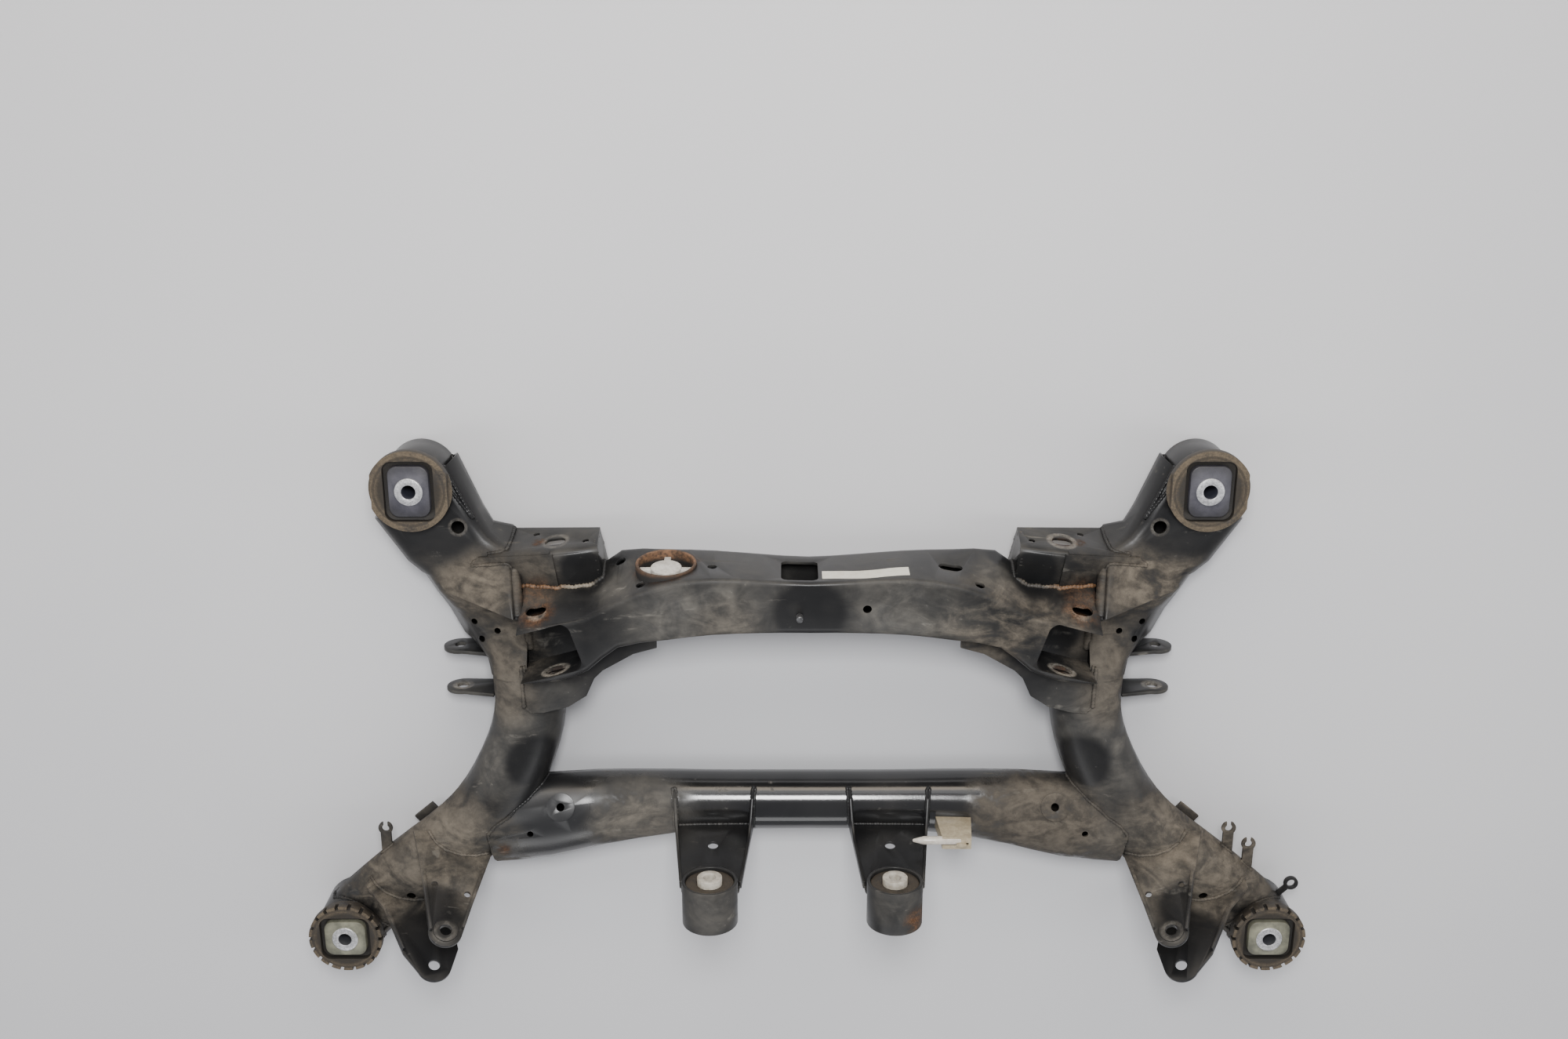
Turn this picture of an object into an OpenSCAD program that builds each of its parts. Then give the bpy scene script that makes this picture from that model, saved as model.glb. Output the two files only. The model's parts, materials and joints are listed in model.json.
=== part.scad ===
// Rear axle subframe: a welded frame of pressed sheet and bent tube with rubber body mounts.
// It lies on the body side of its four mounts, with the underside up (+Z) and the front at +Y.

/* [Mount pattern] */
// Distance between the two front body mounts
front_span = 820; // [790:1:850]
// Distance between the two rear body mounts
rear_span = 1040; // [1010:1:1070]
// Distance from the front mounts to the rear mounts
mount_pitch = 526; // [510:1:545]

/* [Body mounts] */
// Outer diameter of the welded mount sleeves
sleeve_d = 74; // [68:1:80]
// Wall of the mount sleeves
sleeve_wall = 4; // [3:0.5:5]
// Height of the mount sleeves
sleeve_h = 64; // [58:1:66]
// Bore for the body bolt
bolt_d = 14.5; // [12:0.5:17]
// Width of the front core
front_core_w = 42; // [36:1:46]
// Length of the front core
front_core_l = 54; // [48:1:58]
// Width of the rear core
rear_core_w = 46; // [40:1:48]
// Length of the rear core
rear_core_l = 42; // [38:1:48]
// Diameter of the front rubber collar
front_collar_d = 86; // [80:1:92]
// Diameter of the rear rubber collar
rear_collar_d = 82; // [78:1:90]
// Thickness of the rubber collars
collar_t = 10; // [8:1:14]

/* [Sheet and tube] */
// Thickness of the pressed sheet
sheet_t = 3; // [2:0.5:4]
// Wall of the bent tubes
tube_wall = 3; // [2:0.5:4]
// Diameter of the side tubes
side_tube_d = 78; // [72:1:82]
// Diameter of the rear cross tube at its middle
rear_tube_d = 66; // [60:1:72]

/* [Crossmember] */
// Width of the front crossmember over its ends
crossmember_w = 600; // [580:1:620]
// Depth of its top face at the middle
crossmember_depth = 61; // [54:1:66]
// Height of its top edge
crossmember_top = 128; // [122:1:134]
// Height of its flat bottom
crossmember_bottom = 36; // [30:1:42]

/* [Link brackets] */
// Diameter of the link bolts
link_bolt_d = 12.5; // [10:0.5:14]
// Length of the slots for the link bolts
slot_l = 22; // [18:1:26]
// Clear gap of the link clevis
clevis_gap = 56; // [50:1:58]
// Turn of the link brackets about the upright
link_turn = 15; // [12:1:18]
// Thickness of the link ears
ear_t = 4; // [3:0.5:5]
// Clear gap between the outer link ears
outer_ear_gap = 44; // [38:1:50]
// Clear gap between the lower arm ears
lower_ear_gap = 72; // [66:1:78]

/* [Final drive mounts] */
// Distance between the two rear differential bushes
diff_span = 192; // [180:1:204]
// Height of their axis
diff_z = 185; // [178:1:192]
// Outer diameter of the bush housings
diff_bush_d = 58; // [54:1:62]
// Length of the bush housings
diff_bush_l = 48; // [42:1:52]
// Bore for the differential bolts
diff_bolt_d = 12.5; // [10:0.5:14]
// Diameter of the front differential bush
nose_bush_d = 63; // [58:1:66]

/* [Hidden] */
$fn = 48;
eps = 0.001;
far = 400;
loft_steps = 2;
bend_steps = 3;

// Centres of the left mounts; the origin is midway between the outer edges of the collars.
mid_shift = (front_collar_d - rear_collar_d) / 4;
front_mount = [-front_span / 2, mount_pitch / 2 - mid_shift];
rear_mount = [-rear_span / 2, -mount_pitch / 2 - mid_shift];
sleeve_z = 6;
sleeve_top = sleeve_z + sleeve_h;
sleeve_mid = sleeve_z + sleeve_h / 2;
collar_top = sleeve_top + collar_t;
core_h = collar_top + 2;
sleeve_bore = sleeve_d - 2 * sleeve_wall;

// The crossmember's front face, and the corner where arm, crossmember and side tube meet.
face_y = front_mount[1] - 82;
end_x = crossmember_w / 2;
tube_z = 6 + side_tube_d / 2;
tube_top = tube_z + side_tube_d / 2;
arm_top = 62;
joint = [-end_x - 3, face_y - 128];
rear_tube_y = rear_mount[1] + 155;
rear_tube_z = 41;

// The link clevis at the crossmember's left end.
clevis_at = [-end_x + 28, face_y - 79];
clevis_floor = crossmember_bottom + 22;
clevis_len = 113;
clevis_inner = 33;
clevis_round = 10;
slot_z = crossmember_top - 27;

// The differential mounts sit a little left of the middle.
stud_d = 7;
diff_mid = -7;
diff_y = rear_tube_y - 17;
nose_at = [-148, face_y + 4, crossmember_bottom + 50];
nose_lean = 7;

// The bolt axis of the lower arm ears, by its turn from +X and its rise from the level.
lower_turn = 70;
lower_rise = 26;
lower_hole = [rear_mount[0] + 134, rear_mount[1] + 63, tube_top + 81];

steel = "#2b2d2e";
steel_clean = "#1d1f21";
rubber = "#5e5446";
bare = "#8d9094";
cream = "#cfc9b8";

// Lofts

function unit(v) = v / norm(v);

// A smooth curve through rows of numbers, read at t from 0 to the last row's index.
function curve(rows, t) =
    let (n = len(rows) - 1,
         i = min(floor(t), n - 1),
         u = t - i,
         a = rows[max(i - 1, 0)],
         b = rows[i],
         c = rows[i + 1],
         d = rows[min(i + 2, n)])
    b + (u / 2) * ((c - a) + u * ((2 * a - 5 * b + 4 * c - d) + u * (3 * b - a - 3 * c + d)));

function stations(rows, steps) = [for (k = [0 : (len(rows) - 1) * steps]) curve(rows, k / steps)];

// One corner of a section, rounded over the length r along both of its sides.
function round_corner(p, a, b, r, n = 4) =
    let (u = unit(a - p) * r, v = unit(b - p) * r)
    [for (k = [0 : n]) let (t = k / n) p + u * (1 - t) * (1 - t) + v * t * t];

// A four-cornered section, with one radius or one for each corner.
function box_ring(c, r) =
    [for (i = [0 : 3]) each round_corner(c[i], c[(i + 3) % 4], c[(i + 1) % 4], is_list(r) ? r[i] : r)];

// The section moved in by one sheet thickness.
function inset(c, t) =
    [for (i = [0 : 3]) c[i] + t * (unit(c[(i + 3) % 4] - c[i]) + unit(c[(i + 1) % 4] - c[i]))];

// A tube's rings along rows of x, y, z, width and height, each ring upright across the path.
function tube_rings(rows, steps, wall, n = 18) =
    [for (k = [0 : (len(rows) - 1) * steps])
        let (t = k / steps,
             p = curve(rows, t),
             step = curve(rows, min(t + eps, len(rows) - 1)) - curve(rows, max(t - eps, 0)),
             across = unit([step[1], -step[0]]))
        [for (j = [0 : n - 1])
            let (a = 360 * j / n,
                 s = (p[3] / 2 - wall) * cos(a),
                 h = (p[4] / 2 - wall) * sin(a))
            [p[0] + across[0] * s, p[1] + across[1] * s, p[2] + h]]];

// The faces between rings. From the ring named by turn on they are split along the other diagonal,
// so that a form with a left and a right half is its own mirror image.
function side_faces(rings, n, first, flip, turn) =
    [for (k = [0 : rings - 2], j = [0 : n - 1], half = [0, 1])
        let (a = first + k * n + j,
             b = first + k * n + (j + 1) % n,
             left = half == 0 ? [a, b, b + n] : [a, b + n, a + n],
             right = half == 0 ? [a, b, a + n] : [b, b + n, a + n],
             f = k < turn ? left : right)
        flip ? [f[0], f[2], f[1]] : f];

function cap_faces(n, outer, inner, flip) =
    [for (j = [0 : n - 1], half = [0, 1])
        let (a = j,
             b = (j + 1) % n,
             f = half == 0 ? [outer + a, inner + b, outer + b] : [outer + a, inner + a, inner + b])
        flip ? [f[0], f[2], f[1]] : f];

function flat(rings) = [for (r = rings) each r];

// The rings of a loft between two of its rows.
function between(rings, from, to, steps) = [for (k = [from * steps : to * steps]) rings[k]];

// A closed skin between an outer and an inner set of rings, open at both ends.
module shell(outer, inner, flip = false, turn = far) {
    m = len(outer);
    n = len(outer[0]);
    polyhedron(
        points = concat(flat(outer), flat(inner)),
        faces = concat(
            side_faces(m, n, 0, flip, turn),
            side_faces(m, n, m * n, !flip, turn),
            cap_faces(n, 0, m * n, flip),
            cap_faces(n, (m - 1) * n, (2 * m - 1) * n, !flip)),
        convexity = 8);
}

module filled(outer, flip = false, turn = far) {
    m = len(outer);
    n = len(outer[0]);
    start = [for (j = [0 : n - 1]) n - 1 - j];
    end = [for (j = [0 : n - 1]) (m - 1) * n + j];
    polyhedron(
        points = flat(outer),
        faces = concat(
            side_faces(m, n, 0, flip, turn),
            [flip ? [for (j = [n - 1 : -1 : 0]) start[j]] : start],
            [flip ? [for (j = [n - 1 : -1 : 0]) end[j]] : end]),
        convexity = 8);
}

// Shared shapes

module on_right() mirror([1, 0, 0]) children();

module rounded_rect(w, l, r) {
    square([w - 2 * r, l], center = true);
    square([w, l - 2 * r], center = true);
    for (x = [-1, 1], y = [-1, 1])
        translate([x * (w / 2 - r), y * (l / 2 - r)]) circle(r);
}

// A slot of width d along x, cut along z.
module slot(l, d, h) {
    translate([0, 0, h / 2]) cube([l - d, d, h], center = true);
    for (x = [-1, 1])
        translate([x * (l - d) / 2, 0, 0]) cylinder(d = d, h = h);
}

// A quarter of a bent sheet, with its outer radius r.
module bend_profile(r) {
    intersection() {
        difference() {
            circle(r);
            circle(r - sheet_t);
        }
        square(r + 1);
    }
}

// Points a child's z along +Y, with its x kept level.
module facing_front() rotate([-90, 0, 0]) children();

// The local frame of the left link clevis: x inboard, y along the bolt.
module clevis_frame() translate([clevis_at[0], clevis_at[1], 0]) rotate([0, 0, link_turn]) children();

// The local frame of the lower arm ears: z along the bolt, y down the plates.
module lower_frame() translate(lower_hole) rotate([0, 0, lower_turn - 90])
    rotate([lower_rise - 90, 0, 0]) children();

// Front crossmember

// Section corners at x: front bottom, front top, rear top, rear bottom.
function crossmember_row(x, front_low, front_high, rear) = [
    [x, face_y + front_low, crossmember_bottom],
    [x, face_y + front_high, crossmember_top],
    [x, face_y - rear, crossmember_top - 11],
    [x, face_y - rear + 2, crossmember_bottom]
];

crossmember_half = [
    crossmember_row(end_x, -9, -57, 118),
    crossmember_row(end_x - 36, -13, -47, 115),
    crossmember_row(end_x - 70, -15, -39, 103),
    crossmember_row(end_x - 102, 9, -22, 77),
    crossmember_row(end_x - 150, 9, -3, crossmember_depth + 8),
    crossmember_row(end_x - 200, 7, 4, crossmember_depth + 2),
    crossmember_row(end_x - 250, 3, 2, crossmember_depth)
];
crossmember_rows = concat(
    [for (row = crossmember_half) [for (p = row) [-p[0], p[1], p[2]]]],
    [crossmember_row(0, 0, 0, crossmember_depth)],
    [for (i = [len(crossmember_half) - 1 : -1 : 0]) crossmember_half[i]]);
crossmember_sections = stations(crossmember_rows, loft_steps);
crossmember_round = [12, 6, 9, 12];
crossmember_outer = [for (c = crossmember_sections) box_ring(c, crossmember_round)];
crossmember_inner = [for (c = crossmember_sections)
    box_ring(inset(c, sheet_t), [for (r = crossmember_round) max(r - sheet_t, 2)])];

// Openings in the front face as x and z, and the hole in the top face as x.
face_holes = [[-197, 62], [-100, 92], [-172, 112], [174, 112]];
face_hole_d = 10;
face_slot = [146, 88];
window = [-10, crossmember_top - 37];
window_size = [38, 56];
top_hole_x = 59;
face_reach = 30;

// The crossmember's outer form and its hollow between two of its rows, to trim what meets it.
crossmember_mid = len(crossmember_half) * loft_steps;
module crossmember_form(from, to)
    filled(between(crossmember_outer, from, to, loft_steps), true, crossmember_mid - from * loft_steps);
module crossmember_hollow(from, to)
    filled(between(crossmember_inner, from, to, loft_steps), true, crossmember_mid - from * loft_steps);

// The U-shaped cut over the link clevis, and its bolt slots.
module clevis_cut() {
    clevis_frame() {
        translate([clevis_inner - clevis_len / 2, 0, clevis_floor])
            linear_extrude(far) rounded_rect(clevis_len, clevis_gap, clevis_round);
        translate([0, 0, slot_z]) facing_front()
            translate([0, 0, -clevis_gap]) slot(slot_l, link_bolt_d + 1, 2 * clevis_gap);
    }
}

// A child drawn in x and z, cut through the front wall.
module through_face(x, z) translate([x, face_y - face_reach, z]) facing_front() children();

module front_crossmember() {
    color(steel) difference() {
        shell(crossmember_outer, crossmember_inner, true, crossmember_mid);
        clevis_cut();
        on_right() clevis_cut();
        nose_frame() translate([0, 0, -face_reach]) cylinder(d = nose_bush_d, h = 2 * face_reach);
        through_face(window[0], window[1])
            linear_extrude(2 * face_reach) rounded_rect(window_size[0], window_size[1], 7);
        through_face(face_slot[0], face_slot[1]) slot(25, 14, 2 * face_reach);
        for (p = face_holes)
            through_face(p[0], p[1]) cylinder(d = face_hole_d, h = 2 * face_reach);
        translate([top_hole_x, face_y - face_reach, crossmember_top - face_reach])
            cylinder(d = 9, h = 2 * face_reach);
    }
}

module crossmember_stud() {
    color(bare) difference() {
        translate([window[0], face_y - 38, crossmember_top - 12]) cylinder(d = stud_d, h = 16);
        crossmember_form(6, 8);
    }
}

// Front arms

// Section corners: outer bottom, outer top, inner top, inner bottom.
arm_low = 6;
arm_rows = [
    [[front_mount[0] - 53, front_mount[1] - 44, arm_low],
     [front_mount[0] - 44, front_mount[1] - 38, arm_top],
     [front_mount[0] + 36, front_mount[1] + 22, arm_top],
     [front_mount[0] + 43, front_mount[1] + 27, arm_low]],
    [[front_mount[0] - 24, front_mount[1] - 93, arm_low],
     [front_mount[0] - 12, front_mount[1] - 84, arm_top],
     [front_mount[0] + 64, front_mount[1] - 34, arm_top],
     [front_mount[0] + 64, front_mount[1] - 30, arm_low]],
    [[-end_x - 123, face_y - 25, arm_low], [-end_x - 106, face_y - 14, arm_top],
     [-end_x - 34, face_y + 27, arm_top], [-end_x - 37, face_y + 32, arm_low]],
    [[-end_x - 118, face_y - 33, arm_low], [-end_x - 98, face_y - 16, arm_top],
     [-end_x - 14, face_y + 10, arm_top + 2], [-end_x - 16, face_y + 26, arm_low]],
    [[-end_x - 106, face_y - 53, arm_low], [-end_x - 88, face_y - 30, arm_top + 3],
     [-end_x - 4, face_y - 46, crossmember_top - 16], [-end_x, face_y - 44, arm_low]],
    [[-end_x - 95, face_y - 72, arm_low], [-end_x - 70, face_y - 60, 52],
     [-end_x - 2, face_y - 66, clevis_floor + 4], [-end_x, face_y - 66, arm_low]],
    [[-end_x - 82, face_y - 100, arm_low], [-end_x - 58, face_y - 88, 52],
     [-end_x - 1, face_y - 90, clevis_floor + 4], [-end_x, face_y - 90, arm_low]],
    [[joint[0] - side_tube_d / 2 - 6, joint[1] + 16, arm_low],
     [joint[0] - side_tube_d / 2 - 4, joint[1] + 16, 70],
     [-end_x + 20, joint[1] + 16, 76], [-end_x + 20, joint[1] + 16, arm_low]],
    [[joint[0] - side_tube_d / 2, joint[1], 6], [joint[0] - side_tube_d / 2, joint[1], tube_top],
     [joint[0] + side_tube_d / 2, joint[1], tube_top], [joint[0] + side_tube_d / 2, joint[1], 6]]
];
// The radii of each row's corners.
arm_round = [
    [24, 24, 24, 24], [22, 24, 20, 20], [18, 22, 16, 16], [16, 16, 8, 10], [12, 12, 4, 6],
    [14, 14, 4, 6], [18, 18, 4, 6], [30, 30, 30, 30], [38, 38, 38, 38]
];
arm_outer = [for (k = [0 : len(arm_rows) - 1]) box_ring(arm_rows[k], arm_round[k])];
arm_inner = [for (k = [0 : len(arm_rows) - 1])
    box_ring(inset(arm_rows[k], sheet_t), [for (r = arm_round[k]) max(r - sheet_t, 1)])];

// What the arm leaves free: the mount sleeve and the crossmember's end.
module arm_clear() {
    translate([front_mount[0], front_mount[1], -1]) cylinder(d = sleeve_d, h = far);
    translate([-end_x, joint[1] + 8, -1]) cube([far, far, far]);
}

// The arm's outer form between two of its rows, to trim what meets it.
module arm_form(from, to) {
    difference() {
        filled(between(arm_outer, from, to, 1));
        arm_clear();
    }
}

// Three small holes behind the arm's second crease.
arm_holes = [[-end_x - 57, face_y - 71], [-end_x - 32, face_y - 80], [-end_x - 50, face_y - 91]];
arm_hole_d = 7;

module left_arm() {
    color(steel) difference() {
        shell(arm_outer, arm_inner);
        arm_clear();
        translate([front_mount[0] + 44, front_mount[1] - 44, 40]) cylinder(d = 14, h = 40);
        for (p = arm_holes)
            translate([p[0], p[1], 25]) cylinder(d = arm_hole_d, h = 60);
    }
}

module left_front_arm() left_arm();
module right_front_arm() on_right() left_arm();

// Side tubes and rear cross tube

// How far the side tube has moved out where its last bend begins.
side_run = rear_mount[0] + 136 - joint[0];
side_rows = [
    [joint[0], joint[1], tube_z, side_tube_d, side_tube_d],
    [joint[0], joint[1] - 44, tube_z, side_tube_d, side_tube_d],
    [joint[0] + 0.15 * side_run, joint[1] - 92, tube_z, side_tube_d, side_tube_d],
    [joint[0] + 0.52 * side_run, joint[1] - 152, tube_z, side_tube_d + 2, side_tube_d],
    [joint[0] + side_run, rear_mount[1] + 117, tube_z, side_tube_d + 4, side_tube_d],
    [rear_mount[0] + 72, rear_mount[1] + 66, tube_z - 2, side_tube_d + 2, side_tube_d - 6],
    [rear_mount[0] + 24, rear_mount[1] + 24, sleeve_mid - 1, side_tube_d, sleeve_h - 8],
    [rear_mount[0] + 4, rear_mount[1] + 3, sleeve_mid - 1, side_tube_d - 2, sleeve_h - 8]
];
side_outer = tube_rings(side_rows, bend_steps, 0);
side_inner = tube_rings(side_rows, bend_steps, tube_wall);

// The side tube's outer form between two of its rows, to trim what meets it.
module side_form(from, to) filled(between(side_outer, from, to, bend_steps));

module left_tube() {
    color(steel) difference() {
        shell(side_outer, side_inner);
        translate([rear_mount[0], rear_mount[1], -1]) cylinder(d = sleeve_d, h = far);
        translate([rear_mount[0] + 77, rear_mount[1] + 52, tube_z]) cylinder(d = 10, h = 80);
    }
}

module left_side_tube() left_tube();
module right_side_tube() on_right() left_tube();

rear_half = [
    [-joint[0] - 0.6 * side_run, rear_tube_y - 22, tube_z, 100, side_tube_d - 4],
    [end_x - 10, rear_tube_y - 17, tube_z - 1, 98, side_tube_d - 4],
    [end_x - 70, rear_tube_y - 8, rear_tube_z + 2, 86, 72],
    [end_x - 150, rear_tube_y - 2, rear_tube_z, rear_tube_d + 6, rear_tube_d + 2],
    [end_x - 220, rear_tube_y, rear_tube_z, rear_tube_d, rear_tube_d]
];
rear_rows = concat(
    [for (r = rear_half) [-r[0], r[1], r[2], r[3], r[4]]],
    [for (i = [len(rear_half) - 1 : -1 : 0]) rear_half[i]]);
rear_outer = tube_rings(rear_rows, loft_steps, 0);
rear_inner = tube_rings(rear_rows, loft_steps, tube_wall);

// The rear tube's outer form between two of its rows, to trim what meets it.
rear_mid = (len(rear_half) - 0.5) * loft_steps;
module rear_form(from, to)
    filled(between(rear_outer, from, to, loft_steps), false, rear_mid - from * loft_steps);

// A flat pressed pad round a hole, on the slope of the rear tube.
pad_d = 31;
pad_t = 4;
module pad_frame(s) translate([s * (end_x - 29), rear_tube_y + 9, rear_tube_z + 36])
    rotate([-24, 0, 0]) children();

module rear_cross_tube() {
    color(steel_clean) difference() {
        union() {
            shell(rear_outer, rear_inner, false, rear_mid);
            for (s = [-1, 1])
                pad_frame(s) translate([0, 0, -pad_t]) cylinder(d = pad_d, h = pad_t);
        }
        side_form(2, 5);
        on_right() side_form(2, 5);
        for (s = [-1, 1]) {
            pad_frame(s) translate([0, 0, -face_reach]) cylinder(d = 9, h = 2 * face_reach);
            translate([s * (end_x + 5), rear_tube_y - 22, tube_z]) cylinder(d = 7, h = 80);
        }
    }
}

// Corner gussets: the flange of the lower shell that laps over the side tube.
module left_gusset() {
    color(steel) difference() {
        translate([0, 0, tube_top - 2]) linear_extrude(sheet_t)
            polygon([
                for (p = [[140, -88], [115, -95], [82, -114], [73, -123], [64, -143], [44, -156],
                          [17, -163], [4, -163], [-3, -156], [-4, -112], [60, -60], [140, -60]])
                    [p[0] - end_x, face_y + p[1]]
            ]);
        crossmember_form(0, 4);
        side_form(0, 1);
        arm_form(6, 8);
    }
}

module left_corner_gusset() left_gusset();
module right_corner_gusset() on_right() left_gusset();

// Mount sleeves

module sleeve(at) {
    color(steel) translate([at[0], at[1], sleeve_z]) difference() {
        cylinder(d = sleeve_d, h = sleeve_h);
        translate([0, 0, -1]) cylinder(d = sleeve_bore, h = sleeve_h + 2);
    }
}

module front_left_sleeve() sleeve(front_mount);
module front_right_sleeve() on_right() sleeve(front_mount);
module rear_left_sleeve() sleeve(rear_mount);
module rear_right_sleeve() on_right() sleeve(rear_mount);

// Mount rubbers

module core_outline(w, l) rounded_rect(w, l, 10);

// A rubber bush: a plug in the sleeve and a notched collar over it, with a well round the core.
module rubber_bush(at, collar_d, w, l, notches, notch_w, notch_depth) {
    well = 7;
    color(rubber) translate([at[0], at[1], 0]) difference() {
        union() {
            translate([0, 0, sleeve_z - 2]) cylinder(d = sleeve_bore, h = sleeve_h + 2 + eps);
            translate([0, 0, sleeve_top]) cylinder(d = collar_d, h = collar_top - sleeve_top);
        }
        translate([0, 0, -1]) linear_extrude(far) core_outline(w, l);
        translate([0, 0, collar_top - well]) linear_extrude(far) core_outline(w + 10, l + 10);
        for (k = [0 : notches - 1])
            rotate([0, 0, 360 * k / notches])
                translate([collar_d / 2 - notch_depth, -notch_w / 2, sleeve_top + 2])
                    cube([far, notch_w, far]);
    }
}

module front_bush() rubber_bush(front_mount, front_collar_d, front_core_w, front_core_l, 2, 36, 4);
module rear_bush() rubber_bush(rear_mount, rear_collar_d, rear_core_w, rear_core_l, 18, 4, 4);

module front_left_rubber() front_bush();
module front_right_rubber() on_right() front_bush();
module rear_left_rubber() rear_bush();
module rear_right_rubber() on_right() rear_bush();

// Mount cores, with a round bolt seat

module core(at, w, l) {
    color(bare) translate([at[0], at[1], 0]) difference() {
        union() {
            linear_extrude(core_h - 2) core_outline(w, l);
            cylinder(d = 29, h = core_h);
        }
        translate([0, 0, -1]) cylinder(d = bolt_d, h = far);
    }
}

module front_core() core(front_mount, front_core_w, front_core_l);
module rear_core() core(rear_mount, rear_core_w, rear_core_l);

module front_left_core() front_core();
module front_right_core() on_right() front_core();
module rear_left_core() rear_core();
module rear_right_core() on_right() rear_core();

// Differential arms and rear bushes

diff_foot_w = 92;
diff_foot_z = rear_tube_z + 10;
arm_h = diff_z - diff_foot_z;
arm_lean = 10;
flange_gap = 2;
flange_lean = atan(((diff_foot_w - diff_bush_d) / 2 - flange_gap) / arm_h);
foot_z = -21;
web_top = arm_h - 6;
flange_top = arm_h - 12;

// Half the width of the arm's web at a height, to the middle of the flanges.
function web_half(z) = diff_foot_w / 2 - z * tan(flange_lean) - sheet_t / 2;

// Child frame with its origin on the rear tube, z up along the leaning web.
module diff_frame(x) translate([x, rear_tube_y - 12, diff_foot_z]) rotate([arm_lean, 0, 0]) children();

module diff_bush_at(x) translate([x, diff_y, diff_z]) rotate([90, 0, 0]) children();

module diff_arm(x, from, to) {
    color(steel_clean) difference() {
        diff_frame(x) {
            rotate([90, 0, 0]) linear_extrude(sheet_t)
                polygon([[-web_half(foot_z), foot_z], [web_half(foot_z), foot_z],
                         [web_half(web_top), web_top], [-web_half(web_top), web_top]]);
            for (s = [-1, 1])
                translate([s * diff_foot_w / 2, 0, 0]) rotate([0, -s * flange_lean, 0])
                    translate([s < 0 ? 0 : -sheet_t, -sheet_t, 0]) rotate([90, 0, 90])
                        linear_extrude(sheet_t)
                            polygon([[0, foot_z], [44, foot_z], [40, 22], [22, 36], [9, 54],
                                     [9, flange_top], [0, flange_top]]);
        }
        diff_bush_at(x) translate([0, 0, -10]) cylinder(d = diff_bush_d, h = diff_bush_l + 20);
        rear_form(from, to);
        diff_frame(x) translate([0, 10, 55]) rotate([90, 0, 0]) cylinder(d = 11, h = 30);
    }
}

module diff_housing(x) {
    color(steel) diff_bush_at(x) difference() {
        cylinder(d = diff_bush_d, h = diff_bush_l);
        translate([0, 0, -1]) cylinder(d = diff_bush_d - 7, h = far);
    }
}

diff_core_d = 26;
diff_proud = 4;

module diff_rubber(x) {
    color(rubber) diff_bush_at(x) difference() {
        translate([0, 0, 3]) cylinder(d = diff_bush_d - 7, h = diff_bush_l - 6);
        cylinder(d = diff_core_d, h = far);
    }
}

module diff_core(x) {
    color(cream) diff_bush_at(x) translate([0, 0, -diff_proud]) difference() {
        cylinder(d = diff_core_d, h = diff_bush_l + 2 * diff_proud);
        translate([0, 0, -1]) cylinder(d = diff_bolt_d, h = far);
    }
}

left_diff_x = diff_mid - diff_span / 2;
right_diff_x = diff_mid + diff_span / 2;

module left_diff_arm() diff_arm(left_diff_x, 2, 5);
module right_diff_arm() diff_arm(right_diff_x, 4, 7);
module left_diff_housing() diff_housing(left_diff_x);
module right_diff_housing() diff_housing(right_diff_x);
module left_diff_rubber() diff_rubber(left_diff_x);
module right_diff_rubber() diff_rubber(right_diff_x);
module left_diff_core() diff_core(left_diff_x);
module right_diff_core() diff_core(right_diff_x);

// Front differential bush in the crossmember's face

nose_depth = 46;
nose_wall = 3;

// The bush leans up with the face: z runs into the crossmember.
module nose_frame() translate(nose_at) rotate([90 + nose_lean, 0, 0]) children();

module nose_bush_ring() {
    color("#6b4a33") nose_frame() translate([0, 0, -4]) difference() {
        cylinder(d = nose_bush_d, h = nose_depth);
        translate([0, 0, -1]) cylinder(d = nose_bush_d - 2 * nose_wall, h = far);
    }
}

module nose_bush_rubber() {
    color("#1c1b1a") nose_frame() translate([0, 0, 9])
        cylinder(d = nose_bush_d - 2 * nose_wall, h = nose_depth - 18);
}

module nose_bush_insert() {
    tab_w = 7;
    color("#d9d6cf") nose_frame() translate([0, 0, 1]) {
        cylinder(d = 32, h = 8);
        for (a = [0, 90])
            rotate([0, 0, a]) translate([-nose_bush_d / 2 + nose_wall + 1, -tab_w / 2, 2])
                cube([nose_bush_d - 2 * nose_wall - 2, tab_w, 6]);
    }
}

// Front link brackets: a slotted ear, a top wall and an end wall folded from one sheet

ear_top = crossmember_top - 50;
ear_low = 8;
ear_len = 116;
wall_len = 50;
wall_depth = 70;
lap_len = 78;
lap_fall = 9;
lap_low = 1.2;
lap_in = 1.4;
bracket_lean = 11;
bracket_bend = 8;

// The bracket's frame: origin at the inboard end of the bend, x outboard to inboard, leaning back.
module bracket_frame() translate([-end_x + 80, face_y + 21, ear_top])
    rotate([bracket_lean, 0, link_turn - 8]) children();

module bracket_bore(x, z) bracket_frame() translate([x, 20, z]) rotate([90, 0, 0]) children();

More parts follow.
